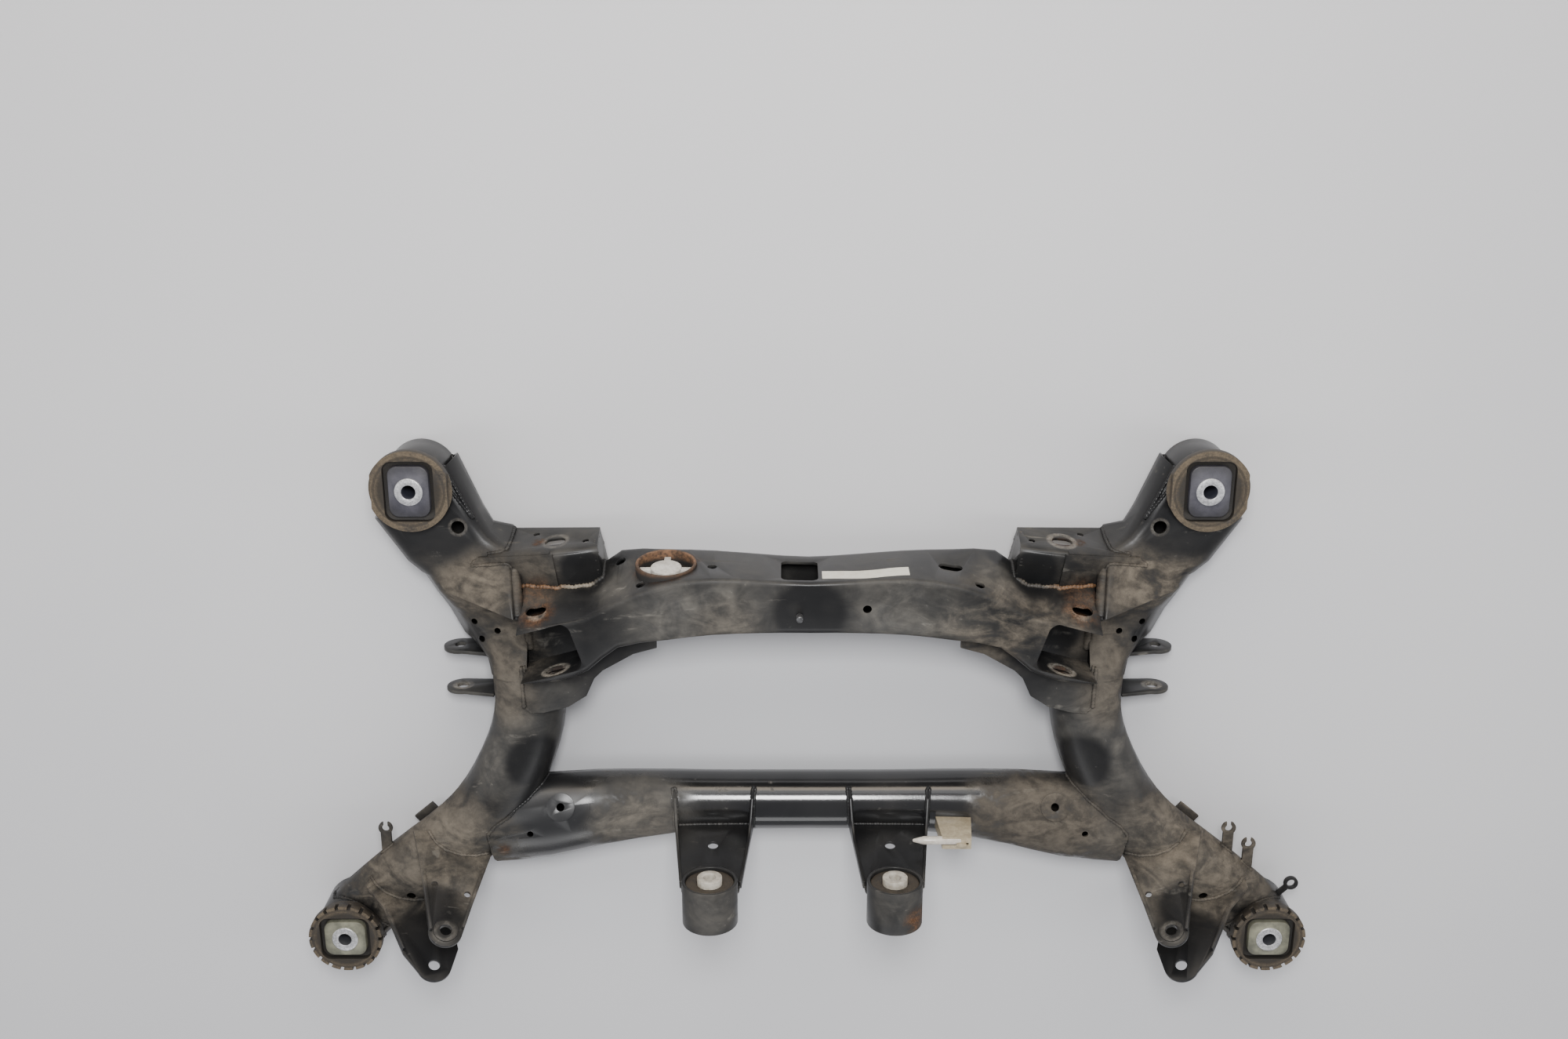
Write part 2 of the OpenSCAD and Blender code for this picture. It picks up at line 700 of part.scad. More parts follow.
module link_bracket() {
    drop = ear_top - ear_low;
    color(steel) difference() {
        bracket_frame() {
            rotate([90, 0, 0]) linear_extrude(sheet_t)
                polygon([[0, 26 - drop], [0, -bracket_bend], [-wall_len, -bracket_bend],
                         [-wall_len, 0], [-ear_len, (wall_len - ear_len) * tan(lap_fall)],
                         [-ear_len, -drop]]);
            translate([-wall_len, -bracket_bend, -bracket_bend]) rotate([90, 0, 90])
                linear_extrude(wall_len) bend_profile(bracket_bend);
            translate([-wall_len, -wall_depth, -sheet_t])
                cube([wall_len, wall_depth - bracket_bend, sheet_t]);
            translate([-wall_len, 0, 0]) rotate([0, -lap_fall, 0]) translate([0, 0, -lap_low])
                linear_extrude(sheet_t)
                    polygon([[sheet_t, -lap_in], [sheet_t, -wall_depth], [-lap_len / 2, -wall_depth],
                             [-lap_len - 14, -34], [-lap_len - 14, -16], [-lap_len, -lap_in]]);
            rotate([90, 0, 90]) translate([0, 0, -sheet_t]) linear_extrude(sheet_t)
                polygon([[-sheet_t, 26 - drop], [-wall_depth, 10 - drop], [-wall_depth, -sheet_t],
                         [-bracket_bend, -sheet_t], [-sheet_t, -bracket_bend]]);
        }
        crossmember_form(0, 4);
        arm_form(1, 5);
        bracket_bore(-46, -24) slot(slot_l, link_bolt_d + 1, 40);
        bracket_bore(-68, -44) cylinder(d = 7, h = 40);
        bracket_bore(-13, -18) cylinder(d = 7, h = 40);
    }
}

module left_link_bracket() link_bracket();
module right_link_bracket() on_right() link_bracket();

// Link clevis: the U-shaped liner with the two slotted walls

module link_clevis() {
    wide = clevis_gap + 2 * sheet_t;
    color(steel) difference() {
        intersection() {
            clevis_frame() translate([clevis_inner - clevis_len, -wide / 2, clevis_floor - sheet_t])
                cube([clevis_len + sheet_t, wide, far]);
            crossmember_hollow(0, 3);
        }
        clevis_cut();
    }
}

module left_link_clevis() link_clevis();
module right_link_clevis() on_right() link_clevis();

// Outer link ears: upright plates low on the outer side

outer_hole = [-end_x - 80, 22];
outer_ear_y = face_y - 114;

module outer_ear(y) {
    color(steel) difference() {
        translate([0, y, 0]) rotate([90, 0, 0]) linear_extrude(ear_t) {
            translate(outer_hole) circle(18);
            polygon([[outer_hole[0], outer_hole[1] - 18], [-end_x - 20, outer_hole[1] - 16],
                     [-end_x - 20, outer_hole[1] + 30], [outer_hole[0] + 4, outer_hole[1] + 17.5]]);
        }
        translate([outer_hole[0], y + 10, outer_hole[1]]) rotate([90, 0, 0])
            cylinder(d = link_bolt_d, h = 30);
        if (y > joint[1]) arm_form(6, 8);
        translate([joint[0], joint[1], tube_z]) rotate([90, 0, 0]) cylinder(d = side_tube_d, h = far);
    }
}

module left_outer_ear_front() outer_ear(outer_ear_y + ear_t);
module right_outer_ear_front() on_right() outer_ear(outer_ear_y + ear_t);
module left_outer_ear_rear() outer_ear(outer_ear_y - outer_ear_gap);
module right_outer_ear_rear() on_right() outer_ear(outer_ear_y - outer_ear_gap);

// Lower arm ears on the rear end of the side tube

rim_t = 3;
rim_h = 10;
front_ear_left = [[-15, -9], [-46, 59], [-70, 105]];
front_ear_right = 18;
rear_ear_left = [[-14, -13], [-36, 2], [-73, 47], [-100, 66]];

module front_ear_outline() {
    circle(front_ear_right);
    polygon(concat(front_ear_left, [[20, 130], [front_ear_right, 42], [front_ear_right, 0]]));
}

module rear_ear_outline() {
    circle(19);
    polygon(concat(rear_ear_left, [[-100, 80], [-10, 80], [19, 26], [19, 0]]));
}

// A rim folded up along one edge of a plate, from a to b with the plate on the right, clear of its corners.
module rim(a, b) translate(a) rotate(atan2(b[1] - a[1], b[0] - a[0]))
    translate([rim_t, -rim_t, 0]) cube([norm(b - a) - 2 * rim_t, rim_t, rim_h]);

module front_ear() {
    linear_extrude(ear_t) front_ear_outline();
    cylinder(d = 26, h = ear_t + 2);
    rim(front_ear_left[0], front_ear_left[1]);
    rim([front_ear_right, 85], [front_ear_right, 4]);
}

module rear_ear() {
    linear_extrude(ear_t) rear_ear_outline();
    rim(rear_ear_left[1], rear_ear_left[2]);
}

// What both ears leave free: their bolt, the side tube and the rear collar.
module lower_ear_clear() {
    lower_frame() translate([0, 0, -lower_ear_gap - 20]) cylinder(d = link_bolt_d, h = lower_ear_gap + 40);
    side_form(3, 6);
    translate([rear_mount[0], rear_mount[1], -1]) cylinder(d = rear_collar_d + 2, h = far);
}

module lower_ear_front() {
    color(steel) difference() {
        lower_frame() difference() {
            front_ear();
            for (x = [-28, 9])
                translate([x, 49, -1]) cylinder(d = 7, h = ear_t + 2);
        }
        lower_ear_clear();
        rear_form(0, 1);
    }
}

module lower_ear_rear() {
    color(steel) difference() {
        lower_frame() translate([0, 0, -lower_ear_gap - ear_t]) rear_ear();
        lower_ear_clear();
    }
}

module left_lower_ear_front() lower_ear_front();
module right_lower_ear_front() on_right() lower_ear_front();
module left_lower_ear_rear() lower_ear_rear();
module right_lower_ear_rear() on_right() lower_ear_rear();

// Rear tabs behind the side tubes

module rear_tab() {
    color(steel_clean) difference() {
        translate([rear_mount[0] + 92, rear_mount[1] + 118, 12]) rotate([0, 0, 40])
            translate([-14, -20, 0]) cube([28, 34, ear_t]);
        side_form(3, 5);
    }
}

module left_rear_tab() rear_tab();
module right_rear_tab() on_right() rear_tab();

// Line clips: flat steel fingers with an open eye, on the outer side of the tube

clip_at = [rear_mount[0] + 47, rear_mount[1] + 84, tube_z];

module line_clip(dx, dy) {
    color(steel) difference() {
        translate(clip_at + [dx, dy, 0]) difference() {
            union() {
                translate([-6, 0, 0]) cube([12, 34, 3]);
                translate([0, 38, 0]) cylinder(d = 16, h = 3);
            }
            translate([0, 38, -1]) cylinder(d = 8, h = 5);
            translate([-2.5, 38, -1]) cube([5, 20, 5]);
        }
        side_form(4, 6);
    }
}

module left_line_clip() line_clip(0, 0);
module right_line_clip() on_right() {
    line_clip(0, 0);
    line_clip(-24, -20);
}

module right_ring_clip() on_right() {
    color(steel) difference() {
        translate([rear_mount[0] - 32, rear_mount[1] + 48, tube_z - 7]) linear_extrude(ear_t) difference() {
            union() {
                circle(d = 16);
                rotate(-45) translate([0, -3]) square([34, 6]);
            }
            circle(d = 9);
        }
        side_form(5, 7);
    }
}

// Plastic harness clip on the rear tube, with its pin

clip_block = [40, 34, 54];
clip_at_tube = [140, rear_tube_y - 24, rear_tube_z + 26];
pin_d = 9;
pin_at = clip_at_tube + [-28, 15.5, 51];

module harness_clip() {
    color(cream) difference() {
        translate(clip_at_tube) {
            translate([0, clip_block[1], 0]) rotate([90, 0, 0]) linear_extrude(clip_block[1])
                polygon([[0, 0], [clip_block[0], 0],
                         [clip_block[0] - 5, clip_block[2]], [4, clip_block[2]]]);
            translate([clip_block[0] / 2 + 4, clip_block[1] / 2, clip_block[2]]) cylinder(d = 11, h = 5);
        }
        rear_form(5, 7);
        translate(pin_at) rotate([0, 90, 0]) cylinder(d = pin_d, h = 60);
    }
}

module harness_pin() {
    tip = 12;
    color(cream) translate(pin_at) rotate([0, 90, 0]) {
        cylinder(d1 = 3, d2 = pin_d, h = tip);
        translate([0, 0, tip]) cylinder(d = pin_d, h = 40);
    }
}

front_crossmember();
rear_cross_tube();
left_front_arm();
right_front_arm();
left_side_tube();
right_side_tube();
left_corner_gusset();
right_corner_gusset();
front_left_sleeve();
front_right_sleeve();
rear_left_sleeve();
rear_right_sleeve();
front_left_rubber();
front_right_rubber();
rear_left_rubber();
rear_right_rubber();
front_left_core();
front_right_core();
rear_left_core();
rear_right_core();
left_diff_arm();
right_diff_arm();
left_diff_housing();
right_diff_housing();
left_diff_rubber();
right_diff_rubber();
left_diff_core();
right_diff_core();
nose_bush_ring();
nose_bush_rubber();
nose_bush_insert();
left_link_bracket();
right_link_bracket();
left_link_clevis();
right_link_clevis();
left_outer_ear_front();
right_outer_ear_front();
left_outer_ear_rear();
right_outer_ear_rear();
left_lower_ear_front();
right_lower_ear_front();
left_lower_ear_rear();
right_lower_ear_rear();
left_rear_tab();
right_rear_tab();
left_line_clip();
right_line_clip();
right_ring_clip();
harness_clip();
harness_pin();
crossmember_stud();
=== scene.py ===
"""Rear axle subframe: the looks of a used, dusty, black-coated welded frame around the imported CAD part."""
import json
import math

import bmesh
import bpy
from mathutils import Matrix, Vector, noise
from mathutils.bvhtree import BVHTree


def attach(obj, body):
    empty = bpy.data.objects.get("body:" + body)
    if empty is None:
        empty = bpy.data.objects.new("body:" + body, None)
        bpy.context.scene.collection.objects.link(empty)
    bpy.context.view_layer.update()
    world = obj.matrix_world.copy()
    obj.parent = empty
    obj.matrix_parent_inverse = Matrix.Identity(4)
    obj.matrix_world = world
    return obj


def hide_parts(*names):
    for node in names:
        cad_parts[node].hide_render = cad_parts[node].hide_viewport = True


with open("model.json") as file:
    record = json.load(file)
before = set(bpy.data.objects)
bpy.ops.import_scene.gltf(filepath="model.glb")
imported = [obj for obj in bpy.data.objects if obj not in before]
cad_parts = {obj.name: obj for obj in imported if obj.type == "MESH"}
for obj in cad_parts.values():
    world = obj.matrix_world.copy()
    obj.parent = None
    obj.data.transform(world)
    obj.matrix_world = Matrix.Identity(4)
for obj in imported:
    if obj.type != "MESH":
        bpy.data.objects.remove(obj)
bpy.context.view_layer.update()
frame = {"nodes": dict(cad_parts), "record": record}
nodes = frame["nodes"]

# Camera and light, in metres and degrees
CAMERA_AT = (-0.026, 0.7307, 1.6133)
CAMERA_PITCH = -18.0
SENSOR = 36.0
LENS = 36.0
FLASH_AT = (-0.02, 1.05, 1.75)
FLASH_SIZE = 0.45
FLASH_POWER = 34.0
NEUTRAL = (1.0, 1.0, 1.0)
WARM = (1.0, 0.86, 0.68)
SOFTBOXES = (
    # place, size, power and colour: a strip over the front, a low one beyond it, one each side and one behind
    ((0.0, 1.5, 1.1), (2.6, 0.5), 8.0, NEUTRAL),
    ((0.0, 2.1, 0.95), (3.0, 0.45), 20.0, WARM),
    ((-1.6, 0.0, 1.3), (0.5, 1.8), 9.0, NEUTRAL),
    ((1.6, 0.0, 1.3), (0.5, 1.8), 9.0, NEUTRAL),
    ((0.0, -1.4, 0.9), (2.2, 0.5), 8.0, NEUTRAL),
)
LIGHT_AIM = (0.0, 0.0, 0.05)
WORLD_COLOR = (0.93, 0.94, 1.0, 1.0)
WORLD_STRENGTH = 0.42
FLOOR_SIZE = 14.0

# Edge rounding, in metres, from this angle up; points nearer than MERGE are one, and faces within FLAT are one
EDGE = 0.0008
EDGE_STEPS = 2
SHARP = math.radians(42)
FLAT = math.radians(0.4)
MERGE = 0.00004

# Rounding by material slot, where it isn't the usual one
EDGES = {"mount_core": 0.0018, "bush_rubber": 0.0014, "clip_plastic": 0.0012, "white_plastic": 0.0010}

# The plastic clip is drawn slimmer than its CAD block along y: the place that stays, in metres, and the factor
CLIP_NODE = "harness_clip"
CLIP_Y = -0.122
CLIP_SLIM = 0.40
# Its pin has a look of its own
PIN_NODE = "harness_pin"

# Welds, in metres: how near a face lies on another to be welded, the step along a bead, and its form,
# with the ripples in radians a step, the lumps per metre and the sizes as shares of the radius
WELD_R = 0.0024
BARE_WELD_R = 0.0034
WELD_REACH = 0.0004
WELD_STEP = 0.0013
WELD_SIDES = 7
BEAD_BODY = 0.82
RIPPLE = 2.1
RIPPLE_DEPTH = 0.16
LUMPS = 160.0
LUMP_DEPTH = 0.30
BEAD_END = 0.35
BEAD_RISE = 0.3
BEAD_ASIDE = (0.31, 0.42, 0.85)

# Broad seams where arm and crossmember meet, on the right, in metres, and how lumpy they are
FILL_R = 0.0085
FILL_LUMPS = 0.15
CORNER_SEAMS = (
    ((0.314, 0.186, 0.0535), (0.309, 0.169, 0.0675), (0.305, 0.149, 0.0855), (0.302, 0.129, 0.1015)),
    ((0.301, 0.122, 0.055), (0.300, 0.098, 0.054), (0.299, 0.076, 0.055)),
)

# Blank label on the crossmember's front face, in metres: along x, up z, thickness, sag, and where rays start
LABEL_X = (0.013, 0.102)
LABEL_Z = (0.096, 0.117)
LABEL_T = 0.0004
LABEL_SAG = 0.0022
LABEL_GRID = (28, 4)
LABEL_RAY_Y = 0.4

# Web behind the notches of the rear collars, in metres: radii, heights, and steps round
WEB_R = (0.0362, 0.0396)
WEB_Z = (0.0645, 0.0728)
WEB_STEPS = 96


# Centres of the mounts on the right, seen from above, in metres
FRONT_MOUNT = (0.410, 0.262)
REAR_MOUNT = (0.520, -0.264)

# The way of x on each side
SIDES = {"left": -1, "right": 1}


class Graph:
    """A material's node tree, with short calls for the nodes that the looks below use."""

    def __init__(self, name):
        self.material = bpy.data.materials.new(name)
        self.material.use_nodes = True
        self.tree = self.material.node_tree
        self.shader = self.tree.nodes["Principled BSDF"]
        self.place = self.add("ShaderNodeTexCoord").outputs["Object"]

    def add(self, kind, inputs=None, **settings):
        node = self.tree.nodes.new(kind)
        for key, value in settings.items():
            setattr(node, key, value)
        for key, value in (inputs or {}).items():
            self.put(node.inputs[key], value)
        return node

    def put(self, socket, value):
        if isinstance(value, bpy.types.NodeSocket):
            self.tree.links.new(value, socket)
        else:
            socket.default_value = value

    def set(self, **values):
        names = {"color": "Base Color", "rough": "Roughness", "metal": "Metallic", "normal": "Normal",
                 "coat": "Coat Weight", "coat_rough": "Coat Roughness", "specular": "Specular IOR Level"}
        for key, value in values.items():
            if key == "color" and not isinstance(value, bpy.types.NodeSocket):
                value = (*value, 1.0)
            self.put(self.shader.inputs[names[key]], value)
        return self

    def math(self, operation, a, b=0.0, clamp=False):
        node = self.add("ShaderNodeMath", {0: a, 1: b}, operation=operation, use_clamp=clamp)
        return node.outputs[0]

    def times(self, a, b):
        return self.math("MULTIPLY", a, b)

    def plus(self, a, b):
        return self.math("ADD", a, b, clamp=True)

    def most(self, a, b):
        return self.math("MAXIMUM", a, b)

    def range(self, value, low, high, to_low=0.0, to_high=1.0):
        node = self.add("ShaderNodeMapRange",
                        {"Value": value, "From Min": low, "From Max": high, "To Min": to_low, "To Max": to_high},
                        interpolation_type="SMOOTHSTEP")
        return node.outputs["Result"]

    def mix(self, amount, a, b):
        node = self.add("ShaderNodeMix", data_type="RGBA")
        self.put(node.inputs["Factor"], amount)
        for key, value in (("A", a), ("B", b)):
            socket = [s for s in node.inputs if s.name == key and s.type == "RGBA"][0]
            self.put(socket, value if isinstance(value, bpy.types.NodeSocket) else (*value, 1.0))
        return [s for s in node.outputs if s.type == "RGBA"][0]

    def noise(self, scale, detail=4.0, rough=0.55, stretch=(1, 1, 1), warp=0.0):
        place = self.add("ShaderNodeMapping", {"Vector": self.place, "Scale": stretch}).outputs["Vector"]
        node = self.add("ShaderNodeTexNoise", {"Vector": place, "Scale": scale, "Detail": detail,
                                               "Roughness": rough, "Distortion": warp})
        return node.outputs["Fac"]

    def apart(self, a, b):
        """The distance between two points."""
        return self.add("ShaderNodeVectorMath", {0: a, 1: b}, operation="DISTANCE").outputs["Value"]

    def spots(self, places):
        """1 in the middle of each (centre, radius, strength), 0 outside."""
        total = None
        for centre, radius, strength in places:
            near = self.range(self.apart(self.place, centre), radius, radius * 0.35, 0.0, strength)
            total = near if total is None else self.most(total, near)
        return total

    def rings(self, places):
        """1 between the two radii of each (centre, inner, outer, strength), 0 elsewhere."""
        total = None
        for centre, inner, outer, strength in places:
            apart = self.apart(self.place, centre)
            past_inner = self.range(apart, inner * 0.8, inner)
            band = self.times(past_inner, self.range(apart, outer, outer * 0.8, 0.0, strength))
            total = band if total is None else self.most(total, band)
        return total

    def facing(self, axis):
        """How far the surface faces along one of its own axes, from -1 to 1."""
        normal = self.add("ShaderNodeNewGeometry").outputs["Normal"]
        own = self.add("ShaderNodeVectorTransform", {"Vector": normal}, vector_type="NORMAL",
                       convert_from="WORLD", convert_to="OBJECT").outputs["Vector"]
        return self.add("ShaderNodeSeparateXYZ", {"Vector": own}).outputs[axis]

    def shade_occlusion(self, reach):
        """Ambient occlusion: 1 on open faces, falling to 0 in hollows and corners within reach, for painted shade
        there.
        """
        return self.add("ShaderNodeAmbientOcclusion", {"Distance": reach}, samples=4).outputs["AO"]

    def flat_apart(self, centre):
        """How far a point is from a centre, seen from above, with the left half folded onto the right."""
        folded = self.add("ShaderNodeVectorMath", {0: self.place}, operation="ABSOLUTE").outputs["Vector"]
        own = self.add("ShaderNodeSeparateXYZ", {"Vector": folded}).outputs["X"]
        parts = self.add("ShaderNodeSeparateXYZ", {"Vector": self.place}).outputs
        level = self.add("ShaderNodeCombineXYZ", {"X": own, "Y": parts["Y"]}).outputs["Vector"]
        return self.apart(level, (*centre, 0.0))

    def bump(self, height, depth, strength):
        inputs = {"Height": height, "Distance": depth, "Strength": strength}
        return self.add("ShaderNodeBump", inputs).outputs["Normal"]


def mirrored(places):
    """The places and their mirror images across the middle. The first entry of each is its centre."""
    return [p for c, *rest in places for p in ((c, *rest), ((-c[0], c[1], c[2]), *rest))]


# Where the dirt lies on the coating, as centre, radius and strength
DUST = mirrored([
    ((-0.110, 0.120, 0.125), 0.100, 1.0),
    ((-0.100, 0.185, 0.080), 0.130, 0.45),
    ((-0.230, 0.190, 0.050), 0.060, 0.6),
    ((-0.300, 0.195, 0.040), 0.040, 0.4),
    ((-0.315, -0.030, 0.085), 0.090, 0.5),
    ((-0.380, -0.180, 0.080), 0.110, 0.6),
    ((-0.290, 0.040, 0.085), 0.060, 0.3),
    # On the side tubes: dust, which also stands in for a painted warm sheen.
    ((-0.350, -0.040, 0.070), 0.045, 1.0),
    ((-0.100, -0.140, 0.190), 0.060, 0.5),
    ((-0.203, 0.182, 0.090), 0.055, 1.0),
    ((-0.375, 0.020, 0.022), 0.040, 0.8),
    ((-0.375, 0.065, 0.022), 0.040, 0.6),
]) + [
    ((-0.190, -0.115, 0.075), 0.080, 1.0),
    ((-0.015, 0.150, 0.128), 0.014, 0.9),
    ((0.022, 0.155, 0.128), 0.016, 0.9),
    ((-0.075, 0.135, 0.126), 0.045, 1.0),
]
MUD = mirrored([
    ((-0.350, 0.150, 0.075), 0.065, 0.85),
    ((-0.290, 0.165, 0.080), 0.045, 0.45),
    ((-0.395, -0.165, 0.075), 0.110, 0.8),
    ((-0.470, -0.215, 0.060), 0.085, 0.8),
    ((-0.370, -0.175, 0.120), 0.075, 0.2),
    ((-0.310, 0.085, 0.070), 0.055, 0.7),
    ((-0.325, 0.035, 0.080), 0.050, 0.6),
    ((-0.385, 0.195, 0.060), 0.035, 0.3),
]) + [
    ((-0.085, 0.130, 0.124), 0.045, 0.5),
    ((0.190, 0.120, 0.122), 0.080, 0.9),
    ((0.265, -0.125, 0.070), 0.095, 0.7),
    ((0.205, -0.110, 0.075), 0.055, 0.5),
    ((0.245, 0.115, 0.118), 0.060, 0.8),
    ((0.430, -0.170, 0.060), 0.120, 1.0),
    ((0.110, -0.165, 0.180), 0.035, 0.8),
    ((-0.190, -0.125, 0.070), 0.060, 0.5),
    ((0.370, 0.165, 0.065), 0.060, 0.9),
]
RUST = mirrored([
    ((-0.284, 0.198, 0.052), 0.010, 0.6),
    ((-0.279, 0.128, 0.101), 0.027, 1.0),
    ((-0.285, 0.150, 0.082), 0.026, 0.4),
    ((-0.265, 0.074, 0.101), 0.014, 0.5),
]) + [
    ((-0.148, 0.188, 0.086), 0.043, 1.0),
    ((0.107, -0.160, 0.200), 0.020, 1.0),
    ((-0.335, -0.150, 0.070), 0.014, 0.6),
    ((0.266, 0.200, 0.054), 0.018, 0.3),
]
CLEAN = mirrored([
    ((-0.235, 0.175, 0.078), 0.038, 0.9),
    ((-0.295, -0.045, 0.080), 0.050, 0.9),
    # At the link brackets' inner ends: clean black coating, as painted shade of their open mouths.
    ((-0.205, 0.195, 0.055), 0.030, 1.0),
    ((-0.236, 0.095, 0.100), 0.045, 0.8),
    ((-0.265, 0.100, 0.065), 0.040, 0.9),
    ((-0.355, 0.215, 0.062), 0.045, 0.5),
    ((-0.100, -0.120, 0.130), 0.055, 0.6),
    ((-0.412, -0.252, 0.118), 0.075, 1.0),
    ((-0.400, -0.182, 0.145), 0.045, 0.7),
    ((-0.360, 0.262, 0.045), 0.050, 0.9),
    ((-0.385, 0.225, 0.062), 0.070, 0.8),
]) + [
    ((0.000, 0.145, 0.125), 0.055, 1.0),
    ((-0.005, -0.110, 0.075), 0.110, 1.0),
    ((-0.280, -0.100, 0.075), 0.060, 0.9),
    ((0.140, -0.100, 0.075), 0.060, 0.8),
]
# Where the clean coating is satin, not glossy
SATIN = [((-0.290, -0.100, 0.075), 0.090, 1.0)]
# Pale rings worn by bolt heads and washers: centre, inner and outer radius, strength
WORN = mirrored([
    ((-0.279, 0.128, 0.101), 0.010, 0.017, 0.4),
    ((-0.265, 0.074, 0.101), 0.011, 0.017, 0.8),
    ((-0.266, 0.200, 0.054), 0.011, 0.016, 0.25),
    ((-0.366, 0.218, 0.062), 0.006, 0.011, 0.2),
    ((-0.380, 0.020, 0.022), 0.005, 0.013, 0.7),
    ((-0.386, -0.198, 0.169), 0.009, 0.014, 0.15),
]) + [
    ((0.266, 0.200, 0.054), 0.0115, 0.018, 0.5),
]


def coated_steel(name, film, gloss, sheen, edge=0.0):
    """Black coating under dust, mud, scratches and rust, with painted shade in hollows and corners. film is the
    even dust, gloss the clean coating's roughness, sheen its reflection and edge how far the paler edges show,
    rubbed thin and painted highlight."""
    g = Graph(name)
    fine = g.noise(520, 3)
    grain = g.noise(120, 5, 0.65)
    smear = g.noise(34, 6, 0.62, warp=0.8)
    cloud = g.noise(11, 5, 0.55, warp=0.5)
    streak = g.noise(75, 5, 0.6, stretch=(0.12, 1.0, 1.0), warp=0.5)
    run = g.noise(46, 6, 0.6, stretch=(0.5, 1.0, 0.35), warp=1.2)
    mixed = g.plus(g.times(cloud, 0.50), g.plus(g.times(run, 0.38), g.times(grain, 0.12)))
    # Painted shade: dust, mud, scratches, specks and worn rings are kept off hollows and corners, which stay black.
    open_unshaded = g.range(g.shade_occlusion(0.05), 0.25, 0.75, 0.05, 1.0)
    clean = g.spots(CLEAN)
    up = g.range(g.facing("Z"), -0.3, 0.8, 0.30, 1.0)
    left_on = g.times(g.range(clean, 0.15, 0.75, 1.0, 0.08), open_unshaded)
    mud = g.times(g.times(g.spots(MUD), g.range(mixed, 0.36, 0.58)), left_on)
    dust = g.plus(film, g.times(g.spots(DUST), 0.65))
    dust = g.times(g.times(g.times(dust, up), g.range(mixed, 0.34, 0.64, 0.30, 1.0)), left_on)
    scratch = g.times(g.times(g.range(streak, 0.60, 0.68), g.range(smear, 0.48, 0.62, 0.0, 0.40)), open_unshaded)
    speck = g.times(g.range(grain, 0.66, 0.74, 0.0, 0.30), open_unshaded)
    rust = g.times(g.spots(RUST), g.range(g.plus(g.times(grain, 0.35), g.times(smear, 0.65)), 0.40, 0.60))
    worn = g.times(g.times(g.rings(WORN), g.range(grain, 0.35, 0.60, 0.35, 1.0)), open_unshaded)
    # Paler rounded edges: rubbed coating and a painted highlight.
    rubbed_and_highlight = g.times(g.range(smear, 0.35, 0.60, 0.15, 1.0), edge)
    paint = g.mix(g.range(cloud, 0.3, 0.7), (0.0060, 0.0062, 0.0068), (0.0115, 0.0115, 0.0120))
    dusty = g.mix(g.range(smear, 0.3, 0.7), (0.100, 0.097, 0.091), (0.190, 0.178, 0.156))
    muddy = g.mix(g.range(g.plus(g.times(run, 0.6), g.times(grain, 0.4)), 0.32, 0.68),
                  (0.082, 0.069, 0.053), (0.188, 0.160, 0.124))
    rusty = g.mix(g.range(fine, 0.3, 0.7), (0.060, 0.028, 0.013), (0.190, 0.088, 0.038))
    pale = g.mix(g.range(fine, 0.3, 0.7), (0.220, 0.190, 0.145), (0.440, 0.410, 0.360))
    color = g.mix(g.plus(g.plus(dust, scratch), g.plus(speck, rubbed_and_highlight)), paint, dusty)
    color = g.mix(g.times(mud, 0.85), color, muddy)
    color = g.mix(g.times(rust, 0.9), color, rusty)
    color = g.mix(g.times(worn, 0.8), color, pale)
    dirt = g.plus(g.plus(g.times(dust, 1.1), mud), g.plus(rust, scratch))
    height = g.plus(g.times(mud, g.range(grain, 0.25, 0.75)), g.times(fine, 0.05))
    height = g.plus(height, g.times(rust, g.times(fine, 0.4)))
    rough = g.most(g.range(dirt, 0.0, 0.6, gloss, 0.70), g.times(g.spots(SATIN), 0.36))
    g.set(color=color, rough=rough, normal=g.bump(height, 0.0010, 0.6),
          specular=g.range(dirt, 0.0, 0.5, sheen, 0.18))
    return g.material


def rubber(name, dark, tan, dust_low, dust_high):
    """Moulded rubber with tan dust on what faces up, paler at a mount's rim, with painted shade in the well round
    its core and in a ring where its face steps.
    """
    g = Graph(name)
    fine = g.noise(520, 3)
    cloud = g.noise(42, 5, 0.6, warp=0.5)
    up = g.range(g.facing("Z"), -0.2, 0.8, 0.15, 1.0)
    # Painted shade: dust is kept off hollows, such as the well round a mount's core, which stay dark.
    open_unshaded = g.range(g.shade_occlusion(0.012), 0.45, 0.85, 0.0, 1.0)
    apart = g.math("MINIMUM", g.flat_apart(FRONT_MOUNT), g.flat_apart(REAR_MOUNT))
    # Paler towards a mount's rim, darker in the well round its core and in a ring where its face steps: painted
    # shade.
    step = g.times(g.range(apart, 0.0345, 0.0358), g.range(apart, 0.0385, 0.0372))
    rim = g.times(g.range(apart, 0.030, 0.038, 0.15, 1.0), g.range(step, 0.0, 1.0, 1.0, 0.45))
    high = g.range(g.add("ShaderNodeSeparateXYZ", {"Vector": g.place}).outputs["Z"], 0.125, 0.135)
    shown = g.most(g.times(up, open_unshaded), g.times(high, 0.35))
    dust = g.times(shown, g.range(g.plus(g.times(cloud, 0.8), g.times(fine, 0.25)), dust_low, dust_high))
    tone = g.mix(g.range(fine, 0.3, 0.7), tan, tuple(c * 1.45 for c in tan))
    color = g.mix(g.times(dust, rim), dark, tone)
    g.set(color=color, rough=g.range(dust, 0.0, 1.0, 0.55, 0.9), normal=g.bump(g.plus(fine, cloud), 0.0005, 0.5))
    return g.material


